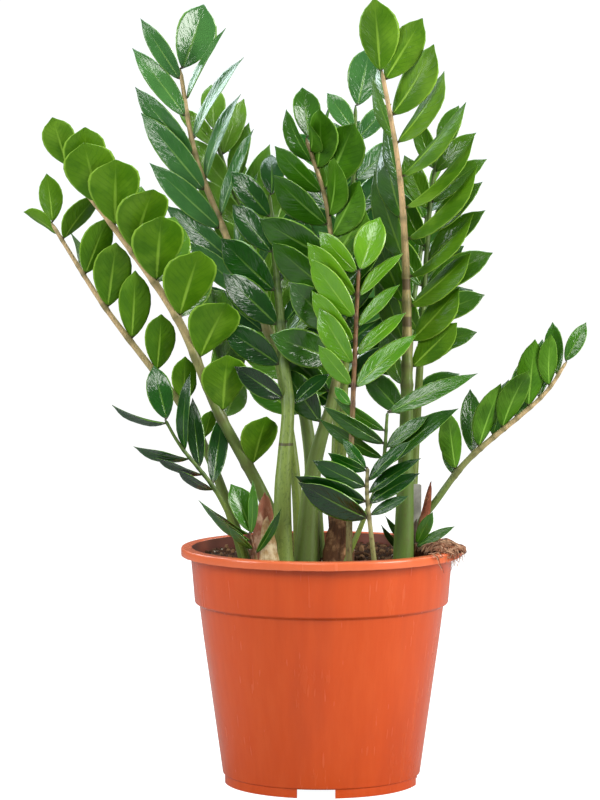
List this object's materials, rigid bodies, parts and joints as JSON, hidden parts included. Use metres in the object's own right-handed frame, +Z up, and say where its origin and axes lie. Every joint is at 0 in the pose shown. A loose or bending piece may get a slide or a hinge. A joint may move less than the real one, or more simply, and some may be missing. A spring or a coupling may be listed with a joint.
{
  "type": "potted zz plant",
  "caption": "Potted zz plant: arching stalks of thick glossy oval leaflets standing in dark soil in a round tapered plastic nursery pot.",
  "frame": {"origin": "on the floor, under the middle of the whole plant's bounding box; the pot's own axis stands off from it", "axes": "+Z up the plant, -Y towards its front, +X to its right as seen from the front"},
  "size_m": [0.5388, 0.3242, 0.7491],
  "materials": {
    "pot_plastic": "satin orange injection-moulded plastic",
    "potting_soil": "dark crumbly peat with bark and pale grains",
    "foliage": "waxy glossy green leaf, paler and duller underneath",
    "dry_scale": "dry papery brown scale",
    "label_plastic": "matt pale grey plastic, unprinted",
    "root_mat": "matted dry brown fibre"
  },
  "bodies": {
    "root": {"pot": "pot_plastic", "soil": "potting_soil", "frond_left_round": "foliage", "frond_left_low": "foliage", "frond_left_tall": "foliage", "frond_left_inner": "foliage", "frond_left_small": "foliage", "frond_front_seedling": "foliage", "frond_left_thick": "foliage", "frond_center_curved": "foliage", "frond_front_bright": "foliage", "frond_front_dark": "foliage", "frond_front_slim": "foliage", "frond_right_tall": "foliage", "frond_right_back": "foliage", "frond_right_arching": "foliage", "frond_right_sprig": "foliage", "frond_center_back": "foliage", "frond_rear_left": "foliage", "frond_rear_center": "foliage", "frond_rear_right": "foliage", "sheath_red": "dry_scale", "sheath_straw": "dry_scale", "husk_brown": "dry_scale", "husk_inner": "dry_scale", "husk_slanted": "dry_scale", "sheath_spike": "dry_scale", "label": "label_plastic", "surface_roots": "root_mat"}
  },
  "joints": []
}
